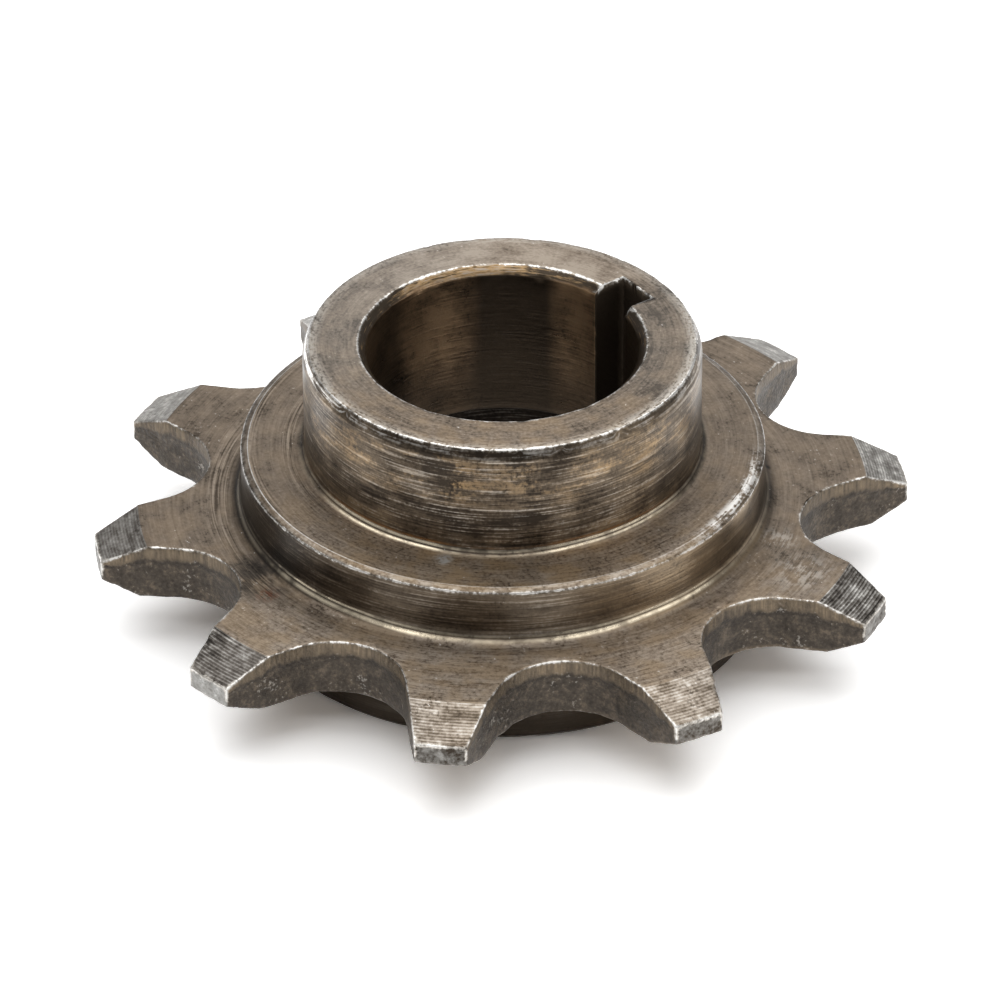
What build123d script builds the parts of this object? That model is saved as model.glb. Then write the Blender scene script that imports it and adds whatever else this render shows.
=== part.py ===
from build123d import *
import os
from math import cos, radians, sin, tan

# Chain sprocket with ten teeth, machined from one piece of steel, in millimetres.
# The part stands on its lower boss: the origin is on the bore axis at the boss face, and +Z points
# up through the toothed plate, the flange and the hub. The keyway faces +Y.

# Chain: half-inch pitch with 7.75 mm rollers
tooth_count = 10
chain_pitch = 12.7
roller_diameter = 7.75

# Tooth form: a round seat for the roller, straight flanks and a turned tip
seat_clearance = 0.10
flank_angle = 15.0
tooth_rise = 2.25
tooth_lead_angle = 9.5

# Toothed plate and the conical chamfers that guide the chain onto its teeth
plate_thickness = 3.4
upper_chamfer_reach = 2.5
upper_chamfer_drop = 1.2
lower_chamfer_reach = 2.0
lower_chamfer_drop = 1.0

# Lower boss, which the part stands on
boss_diameter = 29.1
boss_height = 3.3
boss_chamfer = 0.4
boss_fillet = 0.8

# Flange above the plate
flange_diameter = 29.1
flange_height = 3.3
flange_chamfer_reach = 0.4
flange_chamfer_drop = 0.15
flange_fillet = 0.8

# Hub above the flange
hub_diameter = 22.0
hub_height = 6.6
hub_chamfer_reach = 0.3
hub_chamfer_drop = 0.6
hub_fillet = 0.5

# Bore, with the wider relief that opens below it, and keyway
bore_diameter = 15.0
bore_chamfer_reach = 0.45
bore_chamfer_drop = 0.5
relief_diameter = 18.0
relief_depth = 7.2
relief_chamfer = 0.4
keyway_width = 2.7
keyway_depth = 1.8
keyway_angle = 90.0

# Tools run this far past the faces that they cut through
overrun = 1.0

# Levels and radii that follow from the sizes above
tooth_step = 360.0 / tooth_count
half_step = radians(tooth_step / 2)
pitch_radius = chain_pitch / (2 * sin(half_step))
root_radius = pitch_radius - roller_diameter / 2
tip_radius = pitch_radius + tooth_rise
seat_radius = roller_diameter / 2 + seat_clearance

plate_bottom = boss_height
plate_top = plate_bottom + plate_thickness
flange_top = plate_top + flange_height
hub_top = flange_top + hub_height


def blank_outline():
    """Half section of the turned blank, as (radius, height) points from the relief mouth round to it."""
    bore = bore_diameter / 2
    relief = relief_diameter / 2
    boss = boss_diameter / 2
    flange = flange_diameter / 2
    hub = hub_diameter / 2
    return [
        (relief + relief_chamfer, 0),
        (boss - boss_chamfer, 0),
        (boss, boss_chamfer),
        (boss, plate_bottom),
        (tip_radius - lower_chamfer_reach, plate_bottom),
        (tip_radius, plate_bottom + lower_chamfer_drop),
        (tip_radius, plate_top - upper_chamfer_drop),
        (tip_radius - upper_chamfer_reach, plate_top),
        (flange, plate_top),
        (flange, flange_top - flange_chamfer_drop),
        (flange - flange_chamfer_reach, flange_top),
        (hub, flange_top),
        (hub, hub_top - hub_chamfer_drop),
        (hub - hub_chamfer_reach, hub_top),
        (bore + bore_chamfer_reach, hub_top),
        (bore, hub_top - bore_chamfer_drop),
        (bore, relief_depth),
        (relief, relief_depth),
        (relief, relief_chamfer),
    ]


def round_corner(face, radius, height, size):
    """Round the inner corner of the half section that lies at the given radius and height."""
    corner = face.vertices().sort_by_distance((radius, 0, height))[0]
    return fillet(corner, size)


def turned_blank():
    """The blank as it leaves the lathe: boss, plate with chamfered rim, flange, hub and stepped bore."""
    points = [(radius, 0, height) for radius, height in blank_outline()]
    section = make_face(Polyline(*points, close=True))
    section = round_corner(section, boss_diameter / 2, plate_bottom, boss_fillet)
    section = round_corner(section, flange_diameter / 2, plate_top, flange_fillet)
    section = round_corner(section, hub_diameter / 2, flange_top, hub_fillet)
    return revolve(section, Axis.Z, 360)


def tooth_gap():
    """Cutter for one gap, centred on +X: the roller seat, then flanks that run straight past the tips.

    The seat touches the root circle. Each flank leaves the seat on a tangent, at the flank angle to
    the middle line of the tooth beside it.
    """
    slope = radians(flank_angle) + half_step
    centre = root_radius + seat_radius
    tangent = (centre - seat_radius * sin(slope), seat_radius * cos(slope))
    mouth = tip_radius + overrun
    reach = tangent[1] + (mouth - tangent[0]) * tan(slope)
    seat = ThreePointArc((tangent[0], -tangent[1]), (root_radius, 0), tangent)
    flanks = Polyline(tangent, (mouth, reach), (mouth, -reach), (tangent[0], -tangent[1]))
    outline = make_face([seat, flanks])
    cutter = extrude(outline, plate_thickness + 2 * overrun)
    return Pos(0, 0, plate_bottom - overrun) * cutter


def keyway():
    """Cutter for the straight keyway, which runs the whole length of the bore."""
    floor = bore_diameter / 2 + keyway_depth
    slot = Box(floor, keyway_width, hub_top + 2 * overrun, align=(Align.MIN, Align.CENTER, Align.MIN))
    return Rot(0, 0, keyway_angle) * Pos(0, 0, -overrun) * slot


def sprocket():
    """The finished sprocket: the blank with its keyway and with one gap cut between each two teeth."""
    part = turned_blank() - keyway()
    first_gap = keyway_angle + tooth_lead_angle - tooth_step / 2
    gaps = [Rot(0, 0, first_gap + step * tooth_step) * tooth_gap() for step in range(tooth_count)]
    return part - gaps


os.makedirs("parts", exist_ok=True)
part = sprocket()
part.label = "sprocket"
export_step(part, "parts/sprocket.step")
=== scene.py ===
"""A worn ten-tooth chain sprocket, turned from one piece of steel, on a pale floor in soft light.

The turned blank is spun as one tooth's share, formed to the tooth, copied round the bore, cut by
the keyway and then weathered. Lengths in the classes are millimetres; the mesh ends up in metres.
"""

import logging
from dataclasses import dataclass, field
from enum import Enum
from functools import reduce
from math import atan2, cos, hypot, pi, radians, sin, sqrt
from operator import add

import bmesh
import bpy
import numpy as np
from mathutils import Matrix, Vector, noise
from mathutils.kdtree import KDTree


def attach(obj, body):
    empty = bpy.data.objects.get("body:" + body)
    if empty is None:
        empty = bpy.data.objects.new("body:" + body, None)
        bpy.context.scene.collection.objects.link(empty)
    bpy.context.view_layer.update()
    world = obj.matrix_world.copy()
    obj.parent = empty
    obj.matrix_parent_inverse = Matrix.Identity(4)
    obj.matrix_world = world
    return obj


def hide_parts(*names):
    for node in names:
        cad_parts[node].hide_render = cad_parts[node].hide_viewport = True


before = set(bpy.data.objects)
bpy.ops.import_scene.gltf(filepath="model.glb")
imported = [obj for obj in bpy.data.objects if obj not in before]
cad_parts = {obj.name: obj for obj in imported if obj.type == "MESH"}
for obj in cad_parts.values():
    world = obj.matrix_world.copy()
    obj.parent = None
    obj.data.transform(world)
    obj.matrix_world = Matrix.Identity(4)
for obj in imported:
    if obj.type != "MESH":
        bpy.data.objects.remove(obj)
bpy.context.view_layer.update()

LOG = logging.getLogger("sprocket")
MILLIMETRE = 0.001
FACE_WEIGHT = 60

MARKS = ("edge", "worn", "wall", "drop", "cone", "ridge", "along", "tone", "rib")

Array = np.ndarray
Section = list[tuple[float, float]]
Place = tuple[float, float, float]
Colour = tuple[float, float, float, float]
Socket = bpy.types.NodeSocket
Paint = Colour | Socket


class Side(Enum):
    """The two faces of the toothed plate."""

    UPPER = "upper"
    LOWER = "lower"


@dataclass(frozen=True)
class SprocketSizes:
    """Every size of the sprocket, in millimetres and degrees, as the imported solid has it."""

    tooth_count: int = 10
    chain_pitch: float = 12.7
    roller_diameter: float = 7.75
    seat_clearance: float = 0.10
    flank_angle: float = 15.0
    tooth_rise: float = 2.25
    first_tooth_angle: float = 99.5
    plate_bottom: float = 3.3
    plate_top: float = 6.7
    upper_chamfer_reach: float = 2.5
    upper_chamfer_drop: float = 1.2
    lower_chamfer_reach: float = 2.0
    lower_chamfer_drop: float = 1.0
    boss_radius: float = 14.55
    boss_chamfer: float = 0.4
    flange_radius: float = 14.55
    flange_top: float = 10.0
    flange_chamfer_reach: float = 0.4
    flange_chamfer_drop: float = 0.15
    rim_fillet: float = 0.8
    hub_radius: float = 11.0
    hub_top: float = 16.6
    hub_chamfer_reach: float = 0.3
    hub_chamfer_drop: float = 0.6
    hub_fillet: float = 0.5
    bore_radius: float = 7.5
    bore_chamfer_reach: float = 0.45
    bore_chamfer_drop: float = 0.5
    relief_radius: float = 9.0
    relief_depth: float = 7.2
    relief_chamfer: float = 0.4
    keyway_width: float = 2.7
    keyway_floor: float = 9.3

    @property
    def half_step(self) -> float:
        """Half of one tooth's share of the turn, in radians."""
        return pi / self.tooth_count

    @property
    def root_radius(self) -> float:
        """Radius of the circle that the gaps' floors touch."""
        return self.chain_pitch / (2 * sin(self.half_step)) - self.roller_diameter / 2

    @property
    def tip_radius(self) -> float:
        """Radius of the circle that the teeth end on."""
        return self.chain_pitch / (2 * sin(self.half_step)) + self.tooth_rise

    @property
    def seat_radius(self) -> float:
        """Radius of the round seat that holds a roller."""
        return self.roller_diameter / 2 + self.seat_clearance

    @property
    def seat_centre(self) -> float:
        """Distance from the bore axis to the middle of a roller seat."""
        return self.root_radius + self.seat_radius

    @property
    def flank_slope(self) -> float:
        """Angle between a flank and its gap's middle line, in radians."""
        return radians(self.flank_angle) + self.half_step

    @property
    def flank_foot(self) -> tuple[float, float]:
        """Where a flank leaves its seat: along the gap's middle line and away from it."""
        slope = self.flank_slope
        return self.seat_centre - self.seat_radius * sin(slope), self.seat_radius * cos(slope)

    def cone_start(self, side: Side) -> float:
        """Radius at which the chamfer of one face begins."""
        reach = self.upper_chamfer_reach if side is Side.UPPER else self.lower_chamfer_reach
        return self.tip_radius - reach

    def face_height(self, side: Side, radius: Array) -> Array:
        """Height of the plate's face, with its conical chamfer.

        Args:
            side: The upper or the lower face.
            radius: Distances from the bore axis.

        Returns:
            The face's height at each distance.
        """
        beyond = np.maximum(radius - self.cone_start(side), 0)
        if side is Side.UPPER:
            return self.plate_top - beyond * (self.upper_chamfer_drop / self.upper_chamfer_reach)
        return self.plate_bottom + beyond * (self.lower_chamfer_drop / self.lower_chamfer_reach)


@dataclass(frozen=True)
class ToothForm:
    """The outline of one gap, and how the round blank's rows are drawn onto it.

    Rows are numbered outwards from the gap's floor. On the tooth's middle line they are evenly
    spaced circles; at its flank they follow the outline, which starts with the roller seat.
    """

    sizes: SprocketSizes
    seat_rows: int = 18
    flank_rows: int = 7
    groove_count: int = 15
    rows_per_groove: int = 3
    inner_radius: float = 15.9
    crowding: float = 6.0
    gap_stride: float = 100.0

    def outline(self, radius: float) -> tuple[float, float]:
        """Point of the gap's outline at a distance from the bore axis.

        Args:
            radius: The distance, from the root circle to the tip circle.

        Returns:
            Distance along the gap's middle line and distance from that line.
        """
        size = self.sizes
        slope = size.flank_slope
        foot = size.flank_foot
        if radius <= hypot(*foot):
            along = (radius**2 + size.seat_centre**2 - size.seat_radius**2) / (2 * size.seat_centre)
        else:
            across = foot[0] * sin(slope) - foot[1] * cos(slope)
            run = sqrt(radius**2 - across**2)
            along = across * sin(slope) + run * cos(slope)
        return along, sqrt(max(radius**2 - along**2, 0.0))

    def rows(self) -> list[tuple[float, float, float]]:
        """Radius on the middle line, radius at the flank and half angle of the tooth, by row."""
        size = self.sizes
        cone_start = size.cone_start(Side.UPPER)
        centre, seat = size.seat_centre, size.seat_radius
        turns = np.linspace(0, pi / 2 - size.flank_slope, self.seat_rows + 1)
        flank = [sqrt(centre**2 + seat**2 - 2 * centre * seat * cos(turn)) for turn in turns]
        flank += list(np.linspace(flank[-1], cone_start, self.flank_rows + 1)[1:])
        middle = list(np.linspace(self.inner_radius, cone_start, len(flank)))
        pitch = size.upper_chamfer_reach / (self.groove_count * self.rows_per_groove)
        steps = self.groove_count * self.rows_per_groove - 2
        cone = [cone_start + pitch * step for step in range(1, steps)] + [size.tip_radius]
        rows = []
        for inner, outer in zip(middle + cone, flank + cone):
            along, across = self.outline(outer)
            rows.append((inner, outer, size.half_step - atan2(across, along)))
        return rows

    def form(self, points: Array) -> Array:
        """Draws one tooth's share of the round blank, centred on +X, onto the tooth.

        Args:
            points: The blank's points.

        Returns:
            The points, with those beyond the inner rows moved within the plate's faces.
        """
        size = self.sizes
        inner, outer, half = np.array(self.rows()).T
        radius = np.hypot(points[:, 0], points[:, 1])
        share = np.arctan2(points[:, 1], points[:, 0]) / size.half_step
        plate = size.boss_radius + size.rim_fillet
        lead = np.concatenate([[plate], inner])
        target = np.interp(radius, lead, np.concatenate([[plate], outer]))
        angle = np.interp(radius, lead, np.concatenate([[size.half_step], half]))
        blend = np.abs(share) ** self.crowding
        on_plate = radius > plate + 1e-4
        formed = np.where(on_plate, radius + (target - radius) * blend, radius)
        turned = np.where(on_plate, share * angle, share * size.half_step)
        upper = points[:, 2] > (size.plate_bottom + size.plate_top) / 2
        top, bottom = (size.face_height(side, formed) for side in (Side.UPPER, Side.LOWER))
        face = np.where(upper, top, bottom)
        land = radius > size.tip_radius - 1e-4
        height = np.where(on_plate & ~land, face, points[:, 2])
        return np.column_stack([formed * np.cos(turned), formed * np.sin(turned), height])

    def gap_distance(self, points: Array) -> tuple[Array, Array, Array]:
        """How far points lie from the nearest gap's wall, measured in the plate's plane.

        Args:
            points: Points anywhere on the sprocket.

        Returns:
            The distance, positive in the metal; the direction into the metal; and the place along
            the outline, counted from the gap's floor and set apart from every other gap's.
        """
        size = self.sizes
        step = 2 * size.half_step
        first_gap = radians(size.first_tooth_angle) - size.half_step
        angle = np.arctan2(points[:, 1], points[:, 0]) - first_gap
        number = np.round(angle / step)
        middle = number * step + first_gap
        along = points[:, 0] * np.cos(middle) + points[:, 1] * np.sin(middle)
        across = -points[:, 0] * np.sin(middle) + points[:, 1] * np.cos(middle)
        hand = np.where(across < 0, -1.0, 1.0)
        across = np.abs(across)
        slope = size.flank_slope
        foot = size.flank_foot
        beyond = (along - foot[0]) * cos(slope) + (across - foot[1]) * sin(slope)
        flank = -(along - foot[0]) * sin(slope) + (across - foot[1]) * cos(slope)
        dx, dy = along - size.seat_centre, across
        reach = np.maximum(np.hypot(dx, dy), 1e-6)
        on_flank = beyond > 0
        distance = np.where(on_flank, flank, reach - size.seat_radius)
        nx = np.where(on_flank, -sin(slope), dx / reach)
        ny = np.where(on_flank, cos(slope), dy / reach) * hand
        turn = np.arctan2(dy, -dx)
        seat = size.seat_radius
        place = np.where(on_flank, (pi / 2 - slope) * seat + beyond, turn * seat)
        ahead = nx * np.cos(middle) - ny * np.sin(middle)
        aside = nx * np.sin(middle) + ny * np.cos(middle)
        inward = np.column_stack([ahead, aside, np.zeros(len(points))])
        return distance, inward, place * hand + self.gap_stride * (number % size.tooth_count)


@dataclass(frozen=True)
class TurnedSection:
    """Half section of the turned blank as rows of points, close where it curves or wears."""

    sizes: SprocketSizes
    tooth: ToothForm
    land_rows: int = 12
    fillet_rows: int = 6
    plate_rows: int = 3
    chamfer_rows: int = 2
    boss_face_rows: int = 5
    boss_wall_rows: int = 5
    flange_wall_rows: int = 6
    flange_face_rows: int = 9
    hub_wall_rows: int = 15
    hub_chamfer_rows: int = 3
    hub_face_rows: int = 10
    bore_rows: int = 18
    ledge_rows: int = 3
    relief_rows: int = 6

    def points(self) -> Section:
        """The closed half section, as (radius, height), from the relief's mouth round to it."""
        size = self.sizes
        boss, flange = size.boss_radius, size.flange_radius
        hub, bore = size.hub_radius, size.bore_radius
        path: Section = [(size.relief_radius + size.relief_chamfer, 0.0)]
        self.run(path, (boss - size.boss_chamfer, 0.0), self.boss_face_rows)
        self.run(path, (boss, size.boss_chamfer), self.chamfer_rows)
        self.run(path, (boss, size.plate_bottom - size.rim_fillet), self.boss_wall_rows)
        self.fillet(path, (boss + size.rim_fillet, size.plate_bottom), size.rim_fillet)
        self.plate(path)
        self.fillet(path, (flange, size.plate_top + size.rim_fillet), size.rim_fillet)
        self.run(path, (flange, size.flange_top - size.flange_chamfer_drop), self.flange_wall_rows)
        self.run(path, (flange - size.flange_chamfer_reach, size.flange_top), self.chamfer_rows)
        self.run(path, (hub + size.hub_fillet, size.flange_top), self.flange_face_rows)
        self.fillet(path, (hub, size.flange_top + size.hub_fillet), size.hub_fillet)
        self.run(path, (hub, size.hub_top - size.hub_chamfer_drop), self.hub_wall_rows)
        self.run(path, (hub - size.hub_chamfer_reach, size.hub_top), self.hub_chamfer_rows)
        self.run(path, (bore + size.bore_chamfer_reach, size.hub_top), self.hub_face_rows)
        self.run(path, (bore, size.hub_top - size.bore_chamfer_drop), self.chamfer_rows)
        self.run(path, (bore, size.relief_depth), self.bore_rows)
        self.run(path, (size.relief_radius, size.relief_depth), self.ledge_rows)
        self.run(path, (size.relief_radius, size.relief_chamfer), self.relief_rows)
        return path

    def run(self, path: Section, end: tuple[float, float], steps: int) -> None:
        """Adds evenly spaced points from the path's last point to another.

        Args:
            path: The path, which grows.
            end: The last point to add.
            steps: How many points to add.
        """
        start = path[-1]
        for step in range(1, steps + 1):
            share = step / steps
            out = start[0] + (end[0] - start[0]) * share
            path.append((out, start[1] + (end[1] - start[1]) * share))

    def fillet(self, path: Section, end: tuple[float, float], radius: float) -> None:
        """Adds the quarter round of an inner corner, from the path's last point.

        Args:
            path: The path, which grows.
            end: Where the round ends.
            radius: Its radius.
        """
        start = path[-1]
        vertical_start = abs(start[0] - end[0]) > 1e-6 and start[1] < end[1] and end[0] > start[0]
        centre = (end[0], start[1]) if vertical_start else (start[0], end[1])
        first = atan2(start[1] - centre[1], start[0] - centre[0])
        last = atan2(end[1] - centre[1], end[0] - centre[0])
        turn = (last - first + pi) % (2 * pi) - pi
        for step in range(1, self.fillet_rows + 1):
            angle = first + turn * step / self.fillet_rows
            path.append((centre[0] + radius * cos(angle), centre[1] + radius * sin(angle)))

    def plate(self, path: Section) -> None:
        """Adds the plate's rim on the tooth's middle line: out along the bottom, back along the top.

        Args:
            path: The path, which grows.
        """
        size = self.sizes
        rows = [row[0] for row in self.tooth.rows()]
        tip = size.tip_radius
        self.run(path, (rows[0], size.plate_bottom), self.plate_rows)
        for radius in rows[1:]:
            path.append((radius, float(size.face_height(Side.LOWER, radius))))
        self.run(path, (tip, float(size.face_height(Side.UPPER, tip))), self.land_rows)
        for radius in reversed(rows[:-1]):
            path.append((radius, float(size.face_height(Side.UPPER, radius))))
        self.run(path, (size.flange_radius + size.rim_fillet, size.plate_top), self.plate_rows)


def start_piece(name: str) -> None:
    """Leaves edit mode, deselects everything and logs what is modelled next.

    Args:
        name: What the log calls it.
    """
    if bpy.context.object and bpy.context.object.mode != "OBJECT":
        bpy.ops.object.mode_set(mode="OBJECT")
    bpy.ops.object.select_all(action="DESELECT")
    LOG.info("modelling %s", name)


def take_up(piece: bpy.types.Object, name: str) -> None:
    """Makes an object the only selected one and the active one.

    Args:
        piece: The object that is worked on next.
        name: What the log calls the work.
    """
    start_piece(name)
    piece.select_set(True)
    bpy.context.view_layer.objects.active = piece


def edit_whole(piece: bpy.types.Object) -> None:
    """Enters edit mode with the whole of an object's mesh selected."""
    bpy.context.view_layer.objects.active = piece
    bpy.ops.object.mode_set(mode="EDIT")
    bpy.ops.mesh.select_all(action="SELECT")


def read_points(mesh: bpy.types.Mesh) -> Array:
    """All vertex places of a mesh, as rows of three numbers."""
    flat = np.zeros(len(mesh.vertices) * 3)
    mesh.vertices.foreach_get("co", flat)
    return flat.reshape(-1, 3)


def write_points(mesh: bpy.types.Mesh, points: Array) -> None:
    """Puts a mesh's vertices at new places."""
    mesh.vertices.foreach_set("co", points.astype(np.float32).ravel())
    mesh.update()


def noise_at(points: Array, scale: Place | float, seed: float) -> Array:
    """Smooth noise at many points.

    Args:
        points: Where it is read, in millimetres.
        scale: Waves for each millimetre, or for each along X, Y and Z.
        seed: Offset that picks another pattern.

    Returns:
        Values from about -1 to 1.
    """
    scaled = points * np.array(scale) + seed
    return np.array([noise.noise(Vector(p)) for p in scaled])


@dataclass
class SprocketBody:
    """The sprocket's mesh: spun, formed, copied round, cut and softened."""

    sizes: SprocketSizes
    tooth: ToothForm
    section: TurnedSection
    columns: int = 24
    edge_width: float = 0.06
    edge_segments: int = 2
    edge_angle: float = 18.0
    wall_step: float = 0.01
    same_points: float = 0.0005
    close_points: float = 0.035
    broach_overrun: float = 1.0
    broach_cuts: int = 20

    def build(self) -> bpy.types.Object:
        """Makes the clean form of the sprocket, in millimetres.

        Returns:
            The object, with sharp edges and no wear yet.
        """
        piece = self.spin_sector()
        self.form_sector(piece)
        self.extrude_walls(piece)
        self.copy_round(piece)
        self.cut_keyway(piece)
        return piece

    def spin_sector(self) -> bpy.types.Object:
        """Spins the half section through one tooth's share of the turn, centred on +X."""
        start_piece("turned blank")
        points = self.section.points()
        bpy.ops.mesh.primitive_circle_add(vertices=len(points), radius=1.0, fill_type="NOTHING")
        piece = bpy.context.object
        piece.name = "worn_sprocket"
        half = self.sizes.half_step
        ring = np.array([(r * cos(half), r * sin(half), z) for r, z in points])
        write_points(piece.data, ring)
        edit_whole(piece)
        bpy.ops.mesh.spin(steps=self.columns, angle=2 * half, center=(0, 0, 0), axis=(0, 0, 1))
        bpy.ops.object.mode_set(mode="OBJECT")
        return piece

    def form_sector(self, piece: bpy.types.Object) -> None:
        """Narrows the plate's share of the sector to the tooth."""
        points = read_points(piece.data)
        across = np.arctan2(points[:, 1], points[:, 0])
        if across.mean() > self.sizes.half_step / 2 or across.max() > self.sizes.half_step + 1e-3:
            raise RuntimeError("the blank was spun away from +X")
        write_points(piece.data, self.tooth.form(points))

    def extrude_walls(self, piece: bpy.types.Object) -> None:
        """Draws the upper outline down to the lower one, row by row, as the gap's walls."""
        size = self.sizes
        rows = self.section.land_rows
        take_up(piece, "tooth walls")
        bpy.ops.object.mode_set(mode="EDIT")
        bpy.ops.mesh.select_all(action="DESELECT")
        bpy.context.tool_settings.mesh_select_mode = (False, True, False)
        shape = bmesh.from_edit_mesh(piece.data)
        for edge in shape.edges:
            outer = edge.is_boundary and all(self.on_upper_outline(v.co) for v in edge.verts)
            edge.select_set(outer)
        shape.select_flush_mode()
        downwards = {"value": (0, 0, -self.wall_step)}
        for row in range(1, rows + 1):
            bpy.ops.mesh.extrude_edges_move(TRANSFORM_OT_translate=downwards)
            shape = bmesh.from_edit_mesh(piece.data)
            for vertex in (v for v in shape.verts if v.select):
                radius = np.hypot(vertex.co.x, vertex.co.y)
                top = float(size.face_height(Side.UPPER, radius))
                bottom = float(size.face_height(Side.LOWER, radius))
                vertex.co.z = top + (bottom - top) * row / rows
        bpy.ops.mesh.select_all(action="SELECT")
        bpy.ops.mesh.remove_doubles(threshold=self.same_points)
        bpy.ops.object.mode_set(mode="OBJECT")

    def on_upper_outline(self, place: Vector) -> bool:
        """Whether a vertex of the formed sector lies on the tooth's upper outline.

        Args:
            place: The vertex's place.

        Returns:
            True on the outline, from the gap's floor to the tip.
        """
        size = self.sizes
        radius = np.hypot(place.x, place.y)
        if radius < size.root_radius - 1e-3:
            return False
        return abs(place.z - float(size.face_height(Side.UPPER, radius))) < 1e-3

    def copy_round(self, piece: bpy.types.Object) -> None:
        """Copies the tooth's share round the bore, turned so that the keyway will face +Y."""
        size = self.sizes
        piece.data.transform(Matrix.Rotation(radians(size.first_tooth_angle), 4, "Z"))
        edit_whole(piece)
        copies = size.tooth_count - 1
        turn = 2 * size.half_step * copies
        bpy.ops.mesh.spin(steps=copies, angle=turn, center=(0, 0, 0), axis=(0, 0, 1), dupli=True)
        bpy.ops.mesh.select_all(action="SELECT")
        bpy.ops.mesh.remove_doubles(threshold=self.same_points)
        bpy.ops.mesh.normals_make_consistent(inside=False)
        bpy.ops.object.mode_set(mode="OBJECT")

    def cut_keyway(self, piece: bpy.types.Object) -> None:
        """Broaches the keyway through the bore with a finely divided box."""
        size = self.sizes
        start_piece("keyway")
        height = size.hub_top + 2 * self.broach_overrun
        middle = (0, size.keyway_floor / 2, size.hub_top / 2)
        bpy.ops.mesh.primitive_cube_add(size=1.0, location=middle)
        cutter = bpy.context.object
        cutter.scale = (size.keyway_width, size.keyway_floor, height)
        bpy.ops.object.transform_apply(location=True, rotation=True, scale=True)
        edit_whole(cutter)
        bpy.ops.mesh.subdivide(number_cuts=self.broach_cuts)
        bpy.ops.object.mode_set(mode="OBJECT")
        take_up(piece, "keyway cut")
        cut = piece.modifiers.new("keyway", "BOOLEAN")
        cut.operation = "DIFFERENCE"
        cut.solver = "EXACT"
        cut.object = cutter
        bpy.ops.object.modifier_apply(modifier=cut.name)
        bpy.data.objects.remove(cutter)
        self.join_close_points(piece)

    def join_close_points(self, piece: bpy.types.Object) -> None:
        """Merges the points that the keyway's cut left almost on top of each other."""
        bpy.ops.object.mode_set(mode="EDIT")
        bpy.ops.mesh.select_all(action="DESELECT")
        bpy.context.tool_settings.mesh_select_mode = (True, False, False)
        shape = bmesh.from_edit_mesh(piece.data)
        for vertex in shape.verts:
            vertex.select_set(self.near_keyway(vertex.co))
        shape.select_flush_mode()
        bpy.ops.mesh.remove_doubles(threshold=self.close_points)
        bpy.ops.object.mode_set(mode="OBJECT")

    def near_keyway(self, place: Vector) -> bool:
        """Whether a point lies on the keyway or just beside it."""
        size = self.sizes
        margin = 2 * self.edge_width
        beside = abs(place.x) < size.keyway_width / 2 + margin
        return beside and 0 < place.y < size.keyway_floor + margin

    def soften_edges(self, piece: bpy.types.Object) -> None:
        """Rounds every edge that turns by more than the edge angle, except the broached keyway's."""
        take_up(piece, "edges")
        soft = piece.modifiers.new("edges", "BEVEL")
        soft.width = self.edge_width
        soft.segments = self.edge_segments
        soft.limit_method = "WEIGHT"
        soft.use_clamp_overlap = False
        self.weigh_edges(piece)
        bpy.ops.object.modifier_apply(modifier=soft.name)

    def weigh_edges(self, piece: bpy.types.Object) -> None:
        """Marks each edge that is to be rounded, and leaves the broached keyway's edges sharp."""
        shape = bmesh.new()
        shape.from_mesh(piece.data)
        weights = shape.edges.layers.float.new("bevel_weight_edge")
        for edge in shape.edges:
            turns = edge.calc_face_angle(0.0) > radians(self.edge_angle)
            broached = all(self.near_keyway(vertex.co) for vertex in edge.verts)
            edge[weights] = 1.0 if turns and not broached else 0.0
        shape.to_mesh(piece.data)
        shape.free()


@dataclass(frozen=True)
class Spot:
    """A round place on the surface, found by its direction from the bore axis."""

    angle: float
    radius: float
    height: float
    size: float

    @property
    def middle(self) -> Place:
        """Its middle, in millimetres."""
        turn = radians(self.angle)
        return self.radius * cos(turn), self.radius * sin(turn), self.height


@dataclass(frozen=True)
class Chip(Spot):
    """A nick in an edge, or a small lump where its depth is negative."""

    depth: float

    def sink(self, points: Array) -> Array:
        """How far it lets each point sink.

        Args:
            points: Points on the sprocket, in millimetres.

        Returns:
            The depth at each point, which falls smoothly to 0 at the chip's rim.
        """
        away = np.linalg.norm(points - np.array(self.middle), axis=1) / self.size
        return self.depth * np.clip(1 - away**2, 0, 1) ** 2


CHIPS = (
    Chip(0.7, 10.9, 16.4, 0.55, 0.14),
    Chip(-19.3, 10.95, 16.35, 0.45, 0.1),
    Chip(-31.0, 10.8, 16.6, 0.4, 0.07),
    Chip(-88.0, 10.85, 16.5, 0.5, 0.09),
    Chip(-34.2, 18.35, 3.4, 0.9, -0.2),
    Chip(-66.2, 16.75, 4.4, 0.6, 0.12),
    Chip(14.0, 19.6, 3.6, 0.7, 0.14),
    Chip(20.5, 21.3, 3.9, 0.6, 0.12),
    Chip(-78.0, 19.0, 4.1, 0.5, 0.1),
)


@dataclass
class Survey:
    """Where the points of the clean form lie, measured once for every kind of wear.

    Attributes:
        points: The points, in millimetres.
        normals: Which way the surface faces.
        radius: Distance from the bore axis.
        below: Depth under the plate's upper face.
        thickness: The plate's thickness at that radius.
        distance: Distance to the nearest gap's wall.
        inward: Direction from that wall into the metal.
        along: Place along the gap's outline.
        near_edge: Distance to the nearest sharp outer edge.
        worn: How worn that edge is.
    """

    points: Array
    normals: Array
    radius: Array
    below: Array
    thickness: Array
    distance: Array
    inward: Array
    along: Array
    near_edge: Array
    worn: Array

    @property
    def drop(self) -> Array:
        """Share of the plate's thickness that lies above each point."""
        return np.clip(self.below / self.thickness, 0, 1)

    @property
    def above(self) -> Array:
        """How far each point lies over the plate's lower face."""
        return self.thickness - self.below


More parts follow.
